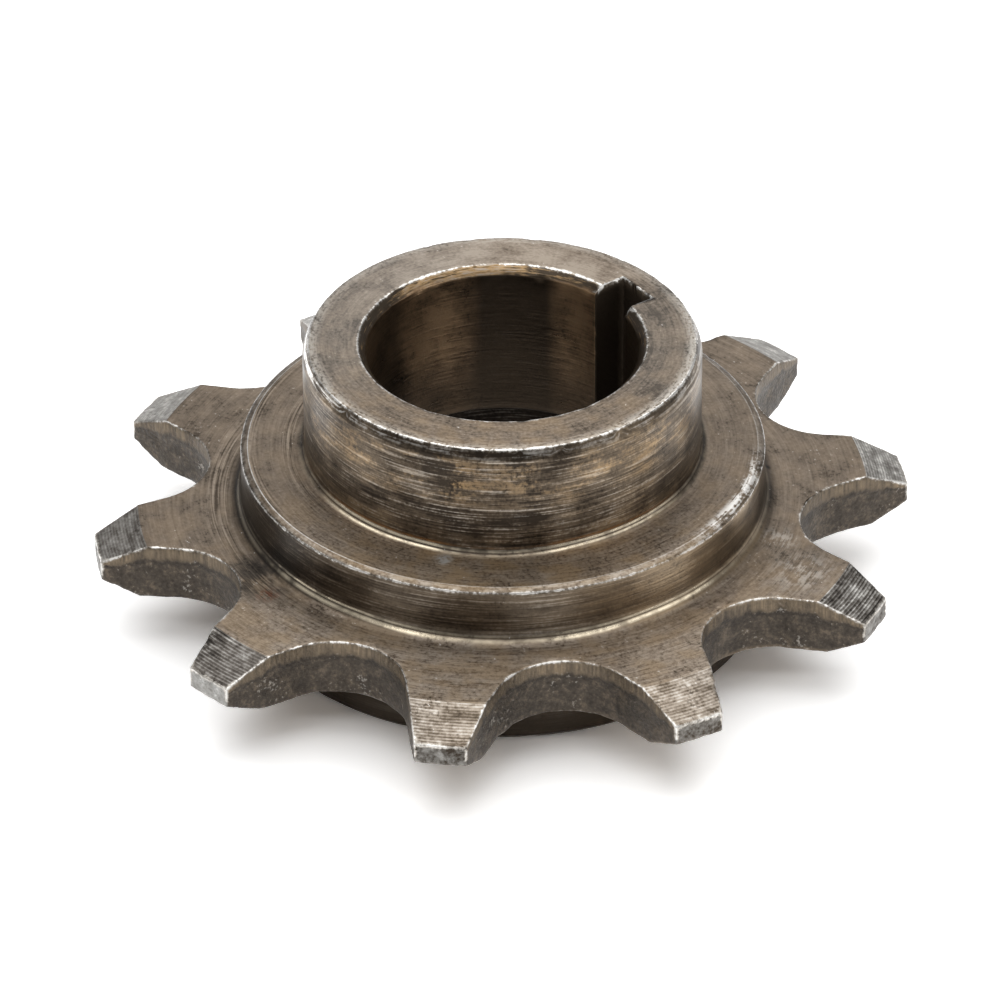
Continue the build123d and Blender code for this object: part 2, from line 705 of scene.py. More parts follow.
@dataclass
class Weathering:
    """Feed grooves, blanked walls, nicks and dents, and the marks that the finish reads."""

    sizes: SprocketSizes
    tooth: ToothForm
    groove_depth: float = 0.012
    groove_fade: float = 0.09
    shear_share: float = 0.28
    wall_inset: float = 0.08
    wall_fade: float = 0.1
    inset_spread: float = 0.6
    nick_reach: float = 0.14
    edge_reach: float = 0.4
    edge_spacing: float = 0.12
    worn_angle: float = 35.0
    tooth_tones: tuple[float, ...] = (0.6, 0.68, 0.69, 0.64, 0.47, 0.37, 0.52, 0.54, 0.43, 0.6)
    tooth_ribs: tuple[float, ...] = (0.35, 0.25, 0.25, 0.25, 0.5, 0.8, 0.85, 0.9, 1.3, 0.6)
    edges: Array = field(default_factory=lambda: np.zeros((0, 3)))
    worn_by: Array = field(default_factory=lambda: np.zeros(0))

    def note_edges(self, piece: bpy.types.Object) -> None:
        """Keeps points along every sharp outer edge of the clean form, for the wear marks.

        Args:
            piece: The clean sprocket, before its edges are softened.
        """
        shape = bmesh.new()
        shape.from_mesh(piece.data)
        spots = []
        for edge in shape.edges:
            if edge.is_convex and edge.calc_face_angle(0.0) > radians(self.worn_angle):
                first, last = (vertex.co for vertex in edge.verts)
                count = max(int(edge.calc_length() / self.edge_spacing), 1)
                spots += [first.lerp(last, step / count) for step in range(count + 1)]
        shape.free()
        self.edges = np.array(spots)
        self.worn_by = self.rubbed(self.edges)

    def rubbed(self, points: Array) -> Array:
        """How strongly an edge is worn at each of its points.

        Args:
            points: Points on the sharp outer edges.

        Returns:
            1 where handling keeps the edge bright, down to 0 in the bore and under the part.
        """
        size = self.sizes
        radius = np.hypot(points[:, 0], points[:, 1])
        height = points[:, 2]
        worn = np.ones(len(points))
        worn[(radius < size.bore_radius + 0.2) & (height < size.hub_top - 0.2)] = 0.0
        worn[(radius < size.keyway_floor + 0.3) & (height < size.hub_top - 0.3)] = 0.0
        worn[(radius < size.boss_radius + 0.2) & (height < size.plate_bottom)] = 0.0
        worn[(radius < size.boss_radius) & (height < 0.1)] = 0.5
        worn[(radius > size.hub_radius + 1) & (height > size.flange_top - 0.3)] = 0.55
        worn[(radius > size.boss_radius + 0.2) & (height < size.plate_bottom + 1.3)] = 0.12
        return worn

    def edge_distance(self, points: Array) -> tuple[Array, Array]:
        """Distance to the nearest outer edge, and how worn that edge is.

        Args:
            points: Points on the sprocket, in millimetres.

        Returns:
            The distance of each point and the wear of its edge.
        """
        tree = KDTree(len(self.edges))
        for number, spot in enumerate(self.edges):
            tree.insert(Vector(spot), number)
        tree.balance()
        found = [tree.find(Vector(point)) for point in points]
        return np.array([place[2] for place in found]), self.worn_by[[place[1] for place in found]]

    def survey(self, piece: bpy.types.Object) -> Survey:
        """Measures where every point of the softened sprocket lies.

        Args:
            piece: The softened sprocket, in millimetres.

        Returns:
            What the wear and the marks are worked out from.
        """
        size = self.sizes
        points = read_points(piece.data)
        normals = np.array([vertex.normal for vertex in piece.data.vertices])
        radius = np.hypot(points[:, 0], points[:, 1])
        top = size.face_height(Side.UPPER, radius)
        thickness = top - size.face_height(Side.LOWER, radius)
        outline = self.tooth.gap_distance(points)
        edges = self.edge_distance(points)
        return Survey(points, normals, radius, top - points[:, 2], thickness, *outline, *edges)

    def apply(self, piece: bpy.types.Object) -> None:
        """Wears the softened form and stores the marks as point attributes.

        Args:
            piece: The softened sprocket, in millimetres.
        """
        size = self.sizes
        spots = self.survey(piece)
        within = (spots.below > -0.01) & (spots.above > -0.01)
        on_plate = (spots.radius > size.root_radius - 0.1) & within
        wall = on_plate & (spots.distance < 0.05)
        nearest = self.nearest_tooth(spots.points)
        ribs = np.array(self.tooth_ribs)[nearest]
        cone = self.chamfer_share(spots)
        grooves = self.grooves(spots, cone) * np.clip(0.3 + ribs * 0.8, 0, 1)
        moved = spots.points + spots.normals * grooves[:, None]
        foot = on_plate & ~wall & (spots.above < 0.08) & (spots.distance < self.inset_spread)
        share = np.where(wall, 1.0, np.where(foot, 1 - spots.distance / self.inset_spread, 0.0))
        moved += spots.inward * (self.wall_wear(spots) * share)[:, None]
        moved -= spots.normals * self.dents(spots)[:, None]
        moved[:, 2] = np.clip(moved[:, 2], 0, size.hub_top)
        write_points(piece.data, moved)
        rims = np.clip(spots.below / self.wall_fade, 0, 1)
        rims = rims * np.clip(spots.above / self.wall_fade, 0, 1)
        marks = {
            "edge": np.clip(1 - spots.near_edge / self.edge_reach, 0, 1),
            "worn": spots.worn,
            "wall": wall * rims,
            "drop": spots.drop,
            "cone": np.clip(cone * 1.5, 0, 1),
            "ridge": np.clip(0.5 + grooves / (2 * self.groove_depth), 0, 1),
            "along": spots.along,
            "tone": np.array(self.tooth_tones)[nearest],
            "rib": ribs,
        }
        for name in MARKS:
            layer = piece.data.attributes.new(name, "FLOAT", "POINT")
            layer.data.foreach_set("value", marks[name].astype(np.float32))

    def nearest_tooth(self, points: Array) -> Array:
        """The number of the tooth whose middle line is nearest, counted from the keyway's."""
        size = self.sizes
        angle = np.degrees(np.arctan2(points[:, 1], points[:, 0]))
        steps = (angle - size.first_tooth_angle) / (360.0 / size.tooth_count)
        return np.round(steps).astype(int) % size.tooth_count

    def chamfer_share(self, spots: Survey) -> Array:
        """How much each point belongs to one of the plate's two chamfers.

        Args:
            spots: Where the points lie.

        Returns:
            1 on a chamfer, falling to 0 beside it.
        """
        size = self.sizes
        on_top = np.clip(1 - spots.below / self.groove_fade, 0, 1)
        on_foot = np.clip(1 - spots.above / self.groove_fade, 0, 1)
        inside = spots.radius < size.tip_radius - 0.02
        upper = np.clip((spots.radius - size.cone_start(Side.UPPER)) / 0.05, 0, 1) * inside
        lower = np.clip((spots.radius - size.cone_start(Side.LOWER)) / 0.05, 0, 1) * inside
        return np.where(on_top > 0, on_top * upper, on_foot * lower)

    def grooves(self, spots: Survey, cone: Array) -> Array:
        """The feed grooves that the lathe left on both chamfers.

        Args:
            spots: Where the points lie.
            cone: How much each point belongs to a chamfer.

        Returns:
            How far each point moves outwards, in millimetres.
        """
        size = self.sizes
        pitch = size.upper_chamfer_reach / self.tooth.groove_count
        wander = noise_at(spots.points, (0.35, 0.35, 0.0), 11.3)
        phase = (spots.radius - size.cone_start(Side.UPPER)) / pitch + 0.12 * wander
        strength = 0.75 + 0.6 * noise_at(spots.points, (0.25, 0.25, 0.0), 3.7)
        rows = np.column_stack([spots.radius, spots.along * 0.1, spots.along * 0])
        uneven = 1 + 0.5 * noise_at(rows, (4.0, 1.0, 0.0), 8.1)
        return self.groove_depth * cone * strength * uneven * np.sin(2 * pi * phase)

    def wall_wear(self, spots: Survey) -> Array:
        """How far the blanked walls lie inside their outline.

        A blanked wall is sheared smooth below its upper edge, then torn off rough and set in.

        Args:
            spots: Where the points lie.

        Returns:
            The inset of each point, in millimetres.
        """
        still = spots.along * 0
        line = np.column_stack([spots.along, still, still])
        border = 0.09 * noise_at(line, (0.8, 1, 1), 5.2) + 0.05 * noise_at(line, (3.1, 1, 1), 9.4)
        torn = np.clip((spots.drop - self.shear_share - border) / 0.09, 0, 1)
        sheet = np.column_stack([spots.along, spots.drop, still])
        streaks = 0.014 * noise_at(sheet, (5.0, 1.0, 1.0), 2.2)
        rough = 0.045 * noise_at(spots.points, 1.4, 6.6) + 0.022 * noise_at(spots.points, 3.6, 1.9)
        foot = 0.07 * np.maximum(noise_at(line, (0.55, 1, 1), 7.7), 0)
        foot = foot * np.clip((spots.drop - 0.7) / 0.3, 0, 1)
        narrow = np.clip((self.sizes.tip_radius - spots.radius) / 1.8, 0.25, 1)
        return narrow * (torn * (self.wall_inset + rough + foot) + (1 - torn) * streaks)

    def dents(self, spots: Survey) -> Array:
        """Nicks along the outer edges, pits on the tooth ends and a faint unevenness all over.

        Args:
            spots: Where the points lie.

        Returns:
            How far each point sinks, in millimetres.
        """
        points = spots.points
        at_edge = np.clip(1 - spots.near_edge / self.nick_reach, 0, 1)
        nicks = np.maximum(noise_at(points, 1.3, 4.4) - 0.2, 0) * 0.16
        grain = 0.006 * np.maximum(noise_at(points, 4.5, 12.1), -0.3)
        on_land = np.clip((spots.radius - self.sizes.tip_radius + 0.05) / 0.04, 0, 1)
        pits = np.maximum(noise_at(points, 3.3, 14.9) - 0.12, 0) * 0.12 * on_land
        swell = 0.003 + 0.003 * noise_at(points, 0.7, 16.5)
        chips = sum(chip.sink(points) for chip in CHIPS)
        return at_edge * (nicks + grain) + pits + swell + chips


@dataclass
class Signal:
    """A number on its way through a material's nodes, so that shader maths reads as expressions."""

    graph: "Graph"
    socket: Socket

    def maths(self, operation: str, *values: "Signal | float") -> "Signal":
        """Adds one Math node.

        Args:
            operation: The node's operation.
            values: Its inputs, in order.

        Returns:
            The node's result.
        """
        inputs = {number: value for number, value in enumerate(values)}
        return self.graph.signal("ShaderNodeMath", {"operation": operation}, inputs)

    def __add__(self, other: "Signal | float") -> "Signal":
        """The sum."""
        return self.maths("ADD", self, other)

    def __radd__(self, other: float) -> "Signal":
        """The sum, with the plain number first."""
        return self.maths("ADD", other, self)

    def __sub__(self, other: "Signal | float") -> "Signal":
        """The difference."""
        return self.maths("SUBTRACT", self, other)

    def __rsub__(self, other: float) -> "Signal":
        """The difference, with the plain number first."""
        return self.maths("SUBTRACT", other, self)

    def __mul__(self, other: "Signal | float") -> "Signal":
        """The product."""
        return self.maths("MULTIPLY", self, other)

    def __rmul__(self, other: float) -> "Signal":
        """The product, with the plain number first."""
        return self.maths("MULTIPLY", other, self)

    def __truediv__(self, other: "Signal | float") -> "Signal":
        """The quotient."""
        return self.maths("DIVIDE", self, other)

    def __pow__(self, other: float) -> "Signal":
        """The power."""
        return self.maths("POWER", self, other)

    def size(self) -> "Signal":
        """The value without its sign."""
        return self.maths("ABSOLUTE", self)

    def near(self, middle: float, reach: float) -> "Signal":
        """1 at one value, falling smoothly to 0 on both sides.

        Args:
            middle: Where the result is 1.
            reach: How far from there it is 0.

        Returns:
            The smoothed share.
        """
        return (self - middle).size().step(reach, 0.0)

    def clamp(self) -> "Signal":
        """The value held between 0 and 1."""
        return self.maths("MINIMUM", self.maths("MAXIMUM", self, 0.0), 1.0)

    def step(self, low: float, high: float) -> "Signal":
        """A smooth rise from 0 at one value to 1 at another, or a fall where low is the higher.

        Args:
            low: Where the result is 0.
            high: Where the result is 1.

        Returns:
            The smoothed share.
        """
        inputs = {"Value": self, "From Min": low, "From Max": high}
        return self.graph.signal("ShaderNodeMapRange", {"interpolation_type": "SMOOTHSTEP"}, inputs)


@dataclass
class Graph:
    """The nodes of one material."""

    material: bpy.types.Material

    @classmethod
    def start(cls, name: str) -> "Graph":
        """A new material with no nodes yet."""
        material = bpy.data.materials.new(name)
        material.use_nodes = True
        material.node_tree.nodes.clear()
        return cls(material)

    def node(self, kind: str, settings: dict, inputs: dict) -> bpy.types.Node:
        """Adds a node.

        Args:
            kind: The node's type.
            settings: Its properties, set before its sockets.
            inputs: Values, signals or sockets, by socket name or number.

        Returns:
            The node.
        """
        made = self.material.node_tree.nodes.new(kind)
        for name, value in settings.items():
            setattr(made, name, value)
        for name, value in inputs.items():
            socket = made.inputs[name]
            value = value.socket if isinstance(value, Signal) else value
            if isinstance(value, Socket):
                self.material.node_tree.links.new(value, socket)
            else:
                socket.default_value = value
        return made

    def signal(self, kind: str, settings: dict, inputs: dict, output: int | str = 0) -> Signal:
        """Adds a node and takes one of its results as a number.

        Args:
            kind: The node's type.
            settings: Its properties.
            inputs: Values, signals or sockets, by socket name or number.
            output: Which of its results is taken.

        Returns:
            The result.
        """
        return Signal(self, self.node(kind, settings, inputs).outputs[output])

    def attribute(self, name: str) -> Signal:
        """One of the mesh's point attributes."""
        return self.signal("ShaderNodeAttribute", {"attribute_name": name}, {}, "Fac")

    def noise(
        self, where: Socket, scale: float = 1.0, detail: float = 2.0, rough: float = 0.6
    ) -> Signal:
        """Smooth noise from 0 to 1.

        Args:
            where: The coordinates.
            scale: Waves for each unit of the coordinates.
            detail: Octaves of finer noise.
            rough: How strong the finer noise is.

        Returns:
            The noise.
        """
        inputs = {"Vector": where, "Scale": scale, "Detail": detail, "Roughness": rough}
        return self.signal("ShaderNodeTexNoise", {}, inputs)

    def vector(self, x: Signal | float, y: Signal | float, z: Signal | float) -> Socket:
        """A vector from three numbers."""
        return self.node("ShaderNodeCombineXYZ", {}, {"X": x, "Y": y, "Z": z}).outputs[0]

    def blend(self, share: Signal | float, first: Paint, second: Paint) -> Socket:
        """Mixes two colours.

        Args:
            share: How much of the second colour there is.
            first: The colour where the share is 0.
            second: The colour where the share is 1.

        Returns:
            The mixed colour.
        """
        inputs = {0: share, 6: first, 7: second}
        return self.node("ShaderNodeMix", {"data_type": "RGBA"}, inputs).outputs[2]

    def ramp(self, value: Signal, stops: tuple[tuple[float, Colour], ...]) -> Socket:
        """A colour that follows a number.

        Args:
            value: The number, from 0 to 1.
            stops: Places on the ramp with their colours, in rising order.

        Returns:
            The colour.
        """
        made = self.node("ShaderNodeValToRGB", {}, {"Fac": value})
        elements = made.color_ramp.elements
        while len(elements) < len(stops):
            elements.new(1.0)
        for element, (place, colour) in zip(elements, stops):
            element.position = place
            element.color = colour
        return made.outputs[0]

    def finish(self, shader: Socket) -> bpy.types.Material:
        """Joins the shader to the material's output and gives the material back."""
        self.node("ShaderNodeOutputMaterial", {}, {"Surface": shader})
        return self.material


def tint(red: float, green: float, blue: float) -> Colour:
    """A linear colour from the screen values, 0 to 255, that it should show at full light."""
    return tuple(((v / 255 + 0.055) / 1.055) ** 2.4 for v in (red, green, blue)) + (1.0,)


class Sheen(Enum):
    """Directions round the bore in which the colour is painted lighter or darker, mostly as painted
    highlight and painted shade, a few for real stains and scuffs: middle and reach, in degrees from
    +X.
    """

    HUB_LEFT = (-98.0, 48.0)
    HUB_FRONT = (-38.0, 40.0)
    HUB_RIGHT = (9.0, 46.0)
    HUB_FAR_RIGHT = (54.0, 34.0)
    FLANGE_LEFT = (-112.0, 46.0)
    FLANGE_FRONT = (-30.0, 40.0)
    FLANGE_RIGHT = (14.0, 40.0)
    TOP_BACK = (144.0, 80.0)
    TOP_LEFT = (-150.0, 80.0)
    TOP_RIGHT = (54.0, 50.0)
    FRONT_HALF = (-36.0, 110.0)
    FRONT_QUARTER = (-36.0, 75.0)
    FRONT_MIDDLE = (-36.0, 50.0)
    RINGS = (-140.0, 80.0)
    GILT_LEFT = (-80.0, 38.0)
    GILT_FRONT = (-53.0, 14.0)
    GILT_RIGHT = (-2.0, 44.0)
    GLEAM_LEFT = (-72.0, 26.0)
    GLEAM_FRONT = (-36.0, 40.0)
    GLEAM_RIGHT = (-2.0, 27.0)
    HUB_LINES_OUT = (-36.0, 24.0)
    HUB_LINES_IN = (-2.0, 34.0)
    FLANGE_LINES_OUT = (-36.0, 34.0)
    WARM_TEETH = (-26.0, 40.0)
    BORE_LEFT = (175.0, 23.0)
    BORE_RIGHT = (109.0, 17.0)
    BORE_NEAR = (215.0, 45.0)
    MOUTH_LEFT = (164.0, 36.0)
    MOUTH_RIGHT = (120.0, 40.0)
    PALE_TOOTH_END = (-84.0, 22.0)
    DARK_TOOTH_END = (-8.0, 16.0)
    POLISHED_TOOTH_END = (99.5, 14.0)
    HALO_RIGHT = (40.0, 50.0)
    HALO_LEFT = (-110.0, 50.0)
    HUB_GLINTS = (-125.0, 60.0)
    FLANGE_GLINTS = (-120.0, 60.0)
    SCUFF = (31.0, 22.0)


@dataclass
class Site:
    """Where a point of the sprocket lies and the patterns it carries. Lengths are millimetres."""

    graph: Graph
    sizes: SprocketSizes

    def __post_init__(self) -> None:
        """Reads the coordinates and the mesh's marks, and draws the patterns that are shared."""
        graph, size = self.graph, self.sizes
        source = graph.node("ShaderNodeTexCoord", {}, {})
        inputs = {0: source.outputs["Object"], "Scale": 1 / MILLIMETRE}
        self.where = graph.node("ShaderNodeVectorMath", {"operation": "SCALE"}, inputs).outputs[0]
        self.x, self.y, self.z = self.parts(self.where)
        self.radius = (self.x * self.x + self.y * self.y) ** 0.5
        self.east, self.north = self.x / self.radius, self.y / self.radius
        self.up = self.parts(source.outputs["Normal"])[2]
        self.face = self.up.size().step(0.8, 0.97)
        self.upright = self.up.size().step(0.75, 0.35)
        for name in MARKS:
            setattr(self, name, graph.attribute(name))
        self.lines = self.ring_noise(around=3.0, across=8.0)
        self.strokes = self.ring_noise(around=13.0, across=7.0)
        self.patches = self.ring_noise(around=4.0, across=1.1)
        self.mottle = graph.noise(self.where, scale=0.5)
        self.rough = graph.noise(self.where, scale=1.4, detail=3.0, rough=0.65)
        self.grain = graph.noise(self.where, scale=5.0)
        self.hub_top = self.z.step(size.hub_top - 0.6, size.hub_top - 0.2)
        self.past_hub = self.radius.step(size.hub_radius + 1.4, size.hub_radius + 2.4)

    def parts(self, vector: Socket) -> tuple[Signal, ...]:
        """The three numbers of a vector."""
        split = self.graph.node("ShaderNodeSeparateXYZ", {}, {0: vector})
        return tuple(Signal(self.graph, output) for output in split.outputs)

    def ring_noise(self, around: float, across: float) -> Signal:
        """Noise that is drawn out along the lathe's turning direction.

        Args:
            around: How quickly it changes round the bore.
            across: Lines for each millimetre across the turning direction.

        Returns:
            The noise, from 0 to 1.
        """
        lines = (self.radius + self.z) * across
        return self.graph.noise(self.graph.vector(self.east * around, self.north * around, lines))

    def uneven(self, **weights: Signal | float) -> Signal:
        """Patterns added up, each counted from its middle value.

        Args:
            weights: How strong each pattern is, by its name.

        Returns:
            The sum, which lies about 0.
        """
        parts = ((getattr(self, name) - 0.5) * weight for name, weight in weights.items())
        return reduce(add, parts)

    def facing(self, sheen: Sheen) -> Signal:
        """How near a place lies to one of the directions.

        Args:
            sheen: The direction and its reach.

        Returns:
            1 in that direction, falling smoothly to 0 at its reach.
        """
        angle, reach = (radians(degrees) for degrees in sheen.value)
        return (self.east * cos(angle) + self.north * sin(angle)).step(cos(reach), 1.0)

    def spot(self, spot: Spot) -> Signal:
        """A round spot on the surface.

        Args:
            spot: Where it is and how large.

        Returns:
            1 at its middle, falling smoothly to 0 at its edge.
        """
        inputs = {0: self.where, 1: spot.middle}
        away = self.graph.signal("ShaderNodeVectorMath", {"operation": "DISTANCE"}, inputs, "Value")
        return away.step(spot.size, 0.0)

    def corner(self, radius: float, height: float, fillet: float, fade: float) -> Signal:
        """The fillet at the foot of a wall.

        Args:
            radius: The wall's distance from the bore axis.
            height: The height of the face that the wall stands on.
            fillet: The radius of the rounding between them.
            fade: How far past the fillet the share falls to 0 along the face.

        Returns:
            1 in the fillet, falling to 0 just beside it.
        """
        out, top = radius + fillet, height + fillet
        across = self.radius.step(radius - 0.1, radius) * self.radius.step(out + fade, out)
        return across * self.z.step(top + 0.12, top) * self.z.step(height - 0.1, height - 0.03)


@dataclass
class Coat:
    """A finish while it is built up: its colour, its dullness and its fine relief."""

    site: Site
    colour: Socket
    dull: Signal
    relief: Signal

    def paint(self, share: Signal | float, colour: Paint, dull: float = 0.0) -> None:
        """Lays a colour over part of the surface.

        Args:
            share: How much of the colour each place gets.
            colour: The colour.
            dull: How much duller the surface is where the colour is full. Below 0 it shines more.
        """
        self.colour = self.site.graph.blend(share, self.colour, colour)
        if dull:
            self.dull = self.dull + share * dull


@dataclass(frozen=True)
class WornSteel:
    """Oil-darkened turned steel: fine feed lines, brown mottling and bright worn edges, with painted
    highlights and painted shade laid into its colour.
    """

    sizes: SprocketSizes
    black: Colour = tint(24, 20, 17)
    pitch: Colour = tint(42, 40, 38)
    # A dark brown, used in the tone ramps and for painted shade.
    dark_brown: Colour = tint(50, 43, 36)
    deep: Colour = tint(76, 66, 55)
    torn: Colour = tint(72, 64, 55)
    umber: Colour = tint(104, 92, 78)
    iron: Colour = tint(100, 96, 92)
    sheared: Colour = tint(112, 99, 82)
    stain: Colour = tint(118, 100, 78)
    plain: Colour = tint(134, 121, 107)
    light: Colour = tint(168, 156, 142)
    gold: Colour = tint(150, 131, 106)
    gilt: Colour = tint(172, 142, 102)
    bronze: Colour = tint(150, 110, 70)
    honey: Colour = tint(198, 164, 128)
    glow: Colour = tint(236, 222, 196)
    silver: Colour = tint(200, 194, 185)
    bright: Colour = tint(238, 236, 232)
    slate: Colour = tint(126, 124, 120)
    ash: Colour = tint(160, 159, 156)
    rust: Colour = tint(116, 62, 34)
    metal: float = 0.92
    torn_metal: float = 0.57
    relief_strength: float = 0.6
    relief_height: float = 0.00003
    brushing: float = 0.35
    brushing_turn: float = 0.25
    burn: Spot = Spot(-86.0, 21.3, 6.2, 2.1)
    rust_stain: Spot = Spot(-88.0, 16.3, 6.7, 1.0)
    grime: Spot = Spot(-94.0, 15.9, 6.7, 3.4)
    pale_spot: Spot = Spot(-51.6, 11.95, 10.0, 0.75)
    pit: Spot = Spot(62.0, 14.9, 6.8, 0.35)
    plate_rub: Spot = Spot(36.0, 16.0, 6.7, 1.6)
    tooth_rub: Spot = Spot(27.5, 18.4, 6.7, 2.6)

    def build(self) -> bpy.types.Material:
        """Makes the material.

        Returns:
            The finished material.
        """
        graph = Graph.start("worn_steel")
        site = Site(graph, self.sizes)
        coat = self.turned(site)
        self.streaks(coat)
        self.fillets(coat)
        self.chamfers(coat)
        self.gap_walls(coat)
        self.bore(coat)
        self.recesses(coat)
        self.tooth_ends(coat)
        self.hub_rim(coat)
        self.flange_rim(coat)
        self.sharp_edges(coat)
        self.specks(coat)
        self.stains(coat)
        relief = {"Strength": self.relief_strength, "Distance": self.relief_height}
        bump = graph.node("ShaderNodeBump", {}, relief | {"Height": coat.relief})
        inputs = {
            "Base Color": coat.colour,
            "Metallic": self.metal - site.wall * (self.metal - self.torn_metal),
            "Roughness": coat.dull.clamp(),
            "Normal": bump.outputs[0],
            "Anisotropic": self.brushing,
            "Anisotropic Rotation": self.brushing_turn,
        }
        shader = graph.node("ShaderNodeBsdfPrincipled", {}, inputs)
        return graph.finish(shader.outputs[0])

    def turned(self, site: Site) -> Coat:
        """The turned faces and walls, which the other finishes are laid over.

        Args:
            site: Where each point lies.

        Returns:
            The coat, ready for more.
        """
        colour = site.graph.blend(site.face, self.wall_colour(site), self.face_colour(site))
        dull = 0.34 + site.face * 0.1 + site.uneven(mottle=0.25, strokes=0.12)
        coat = Coat(site, colour, dull, site.uneven(lines=1.1 - 0.4 * site.face, grain=0.5))
        # Painted highlight: paler grey on the left and right of the hub's top.
        pale = site.facing(Sheen.TOP_LEFT) * 0.18 + site.facing(Sheen.TOP_RIGHT) * 0.12
        coat.paint(site.hub_top * site.face * pale, self.ash)
        return coat

    def wall_colour(self, site: Site) -> Socket:
        """The turned walls: bands drawn out round the bore, painted lighter where they catch the
        light and darker where they miss it.

        Args:
            site: Where each point lies.

        Returns:
            The colour.
        """
        flange = site.past_hub
        hub = 1 - flange
        bands = site.uneven(lines=0.9, patches=0.75, mottle=0.5, strokes=0.25, grain=0.35)
        # Painted light: a lighter band at mid height of the walls, and lighter left and right sides
        # of the hub wall.
        level = 0.18 + bands * (1 - flange * 0.45) + site.z.near(14.2, 1.8) * 0.1
        level = level + site.facing(Sheen.HUB_LEFT) * 0.12 + site.facing(Sheen.HUB_RIGHT) * 0.17
        # Painted highlight and shade on the flange's wall: lighter at its front and right, darker at
        # its left.
        rim = site.facing(Sheen.FLANGE_FRONT) * 0.07 + site.facing(Sheen.FLANGE_RIGHT) * 0.23
        level = level + (rim - site.facing(Sheen.FLANGE_LEFT) * 0.22 - 0.04) * flange
        # Painted light on the hub wall's foot, with painted shade at its far right and its front.
        foot = site.z.near(10.9, 1.0) * 0.16 - site.facing(Sheen.HUB_FAR_RIGHT) * 0.05
        level = level + (foot - site.facing(Sheen.HUB_FRONT) * 0.07) * hub
        stops = ((0.05, self.dark_brown), (0.38, self.umber), (0.68, self.gold), (1.0, self.light))
        return site.graph.ramp(level, stops)

    def face_colour(self, site: Site) -> Socket:
        """The turned faces: feed lines on grey steel, with brown stains, faint rings, and painted
        highlight and painted shade by direction.

        Args:
            site: Where each point lies.

        Returns:
            The colour.
        """
        hub_top = site.hub_top
        size = self.sizes
        beyond = site.radius.step(size.hub_radius + 0.2, size.hub_radius + 0.6)
        back = site.facing(Sheen.TOP_BACK) * site.z.step(size.hub_top - 0.6, size.hub_top - 0.3)
        front = site.facing(Sheen.FRONT_QUARTER) * beyond
        lively = front + hub_top * 0.4
        fine = site.uneven(
            lines=0.38 + lively * 0.4,
            strokes=0.32 + lively * 0.65,
            grain=0.42 + lively * 0.95,
            mottle=0.9 + hub_top * 0.4,
            patches=hub_top * 0.8,
        )
        # Painted highlight: lighter at the back of the hub's top, and on the flange and plate at the
        # front.
        level = 0.53 + fine + back * 0.19 + front * 0.34 - beyond * 0.13
        # Painted shade: the hub's top is darker, most of all on its right.
        level = level - hub_top * (0.07 + site.facing(Sheen.TOP_RIGHT) * 0.1)
        rings = site.radius.near(11.9, 0.5) + site.radius.near(14.0, 0.5)
        rings = rings + site.radius.near(15.9, 1.0)
        level = level + rings * site.facing(Sheen.RINGS) * (site.uneven(lines=1.6) + 0.03)
        grey = site.graph.ramp(level, ((0.1, self.deep), (0.5, self.plain), (0.92, self.light)))
        brown = site.graph.ramp(level, ((0.1, self.dark_brown), (0.5, self.stain), (0.92, self.gold)))
        # Brown where stained, and also as painted shade on the front of the flange's top.
        stain_and_shade = (site.mottle * 0.6 + site.patches * 0.4).step(0.42, 0.6) * (1 - back)
        stain_and_shade = stain_and_shade * (0.2 + site.facing(Sheen.FRONT_HALF) * 0.5)
        # Painted shade: the front of the flange's top turns darker brown, where the hub shades it.
        flange_top = site.z.near(size.flange_top, 0.2)
        stain_and_shade = stain_and_shade + flange_top * site.facing(Sheen.FRONT_MIDDLE) * 0.3
        return site.graph.blend(stain_and_shade.clamp(), grey, brown)

    def streaks(self, coat: Coat) -> None:
        """Lays gilt patches, made stronger in three directions as painted highlight, and silver
        streaks over the turned walls.

        Args:
            coat: The coat, which grows.
        """
        site = coat.site
        gilded = (site.patches + site.uneven(grain=0.5)).step(0.48, 0.7) * site.upright
        # Painted highlight: the gilt patches are strongest on the left, front and right, at mid
        # height.
        lit = 0.15 + site.facing(Sheen.GILT_LEFT) * 0.2 + site.facing(Sheen.GILT_FRONT) * 0.3
        lit = lit + site.facing(Sheen.GILT_RIGHT) * 0.28
        coat.paint(gilded * site.z.near(14.6, 2.2) * lit, self.gilt, -0.04)
        drawn = (site.lines + site.uneven(grain=0.3, mottle=0.3)).step(0.54, 0.76)
        drawn = drawn * site.upright * (1 - site.past_hub * 0.7)
        coat.paint(drawn * (0.36 + site.z.step(13.4, 12.2) * 0.22), self.silver, -0.08)

    def fillets(self, coat: Coat) -> None:
        """Lays glossier double lines into the fillets at the feet of the hub and the flange, their
        pale colour a painted reflection, with painted dark lines between them.

        Args:
            coat: The coat, which grows.
        """
        site, size = coat.site, self.sizes
        # Painted reflection: the fillet lines are brightest to the left, the right and the front.
        lit = 0.16 + (site.facing(Sheen.GLEAM_LEFT) + site.facing(Sheen.GLEAM_RIGHT)) * 0.88
        lit = lit + site.facing(Sheen.GLEAM_FRONT) * 0.12
        broken = (site.strokes * 0.4 + site.patches * 0.35 + site.rough * 0.25).step(0.42, 0.56)
        patchy = (lit * (0.36 + broken * 0.75)).clamp()
        hub = site.corner(size.hub_radius, size.flange_top, size.hub_fillet, 0.12)
        turn = site.up - site.facing(Sheen.HUB_LINES_OUT) * 0.1
        turn = turn + site.facing(Sheen.HUB_LINES_IN) * 0.14
        coat.paint(hub * turn.near(0.2, 0.2) * patchy * 0.7, self.bronze, -0.08)
        coat.paint(hub * turn.near(0.48, 0.2) * patchy, self.glow, -0.12)
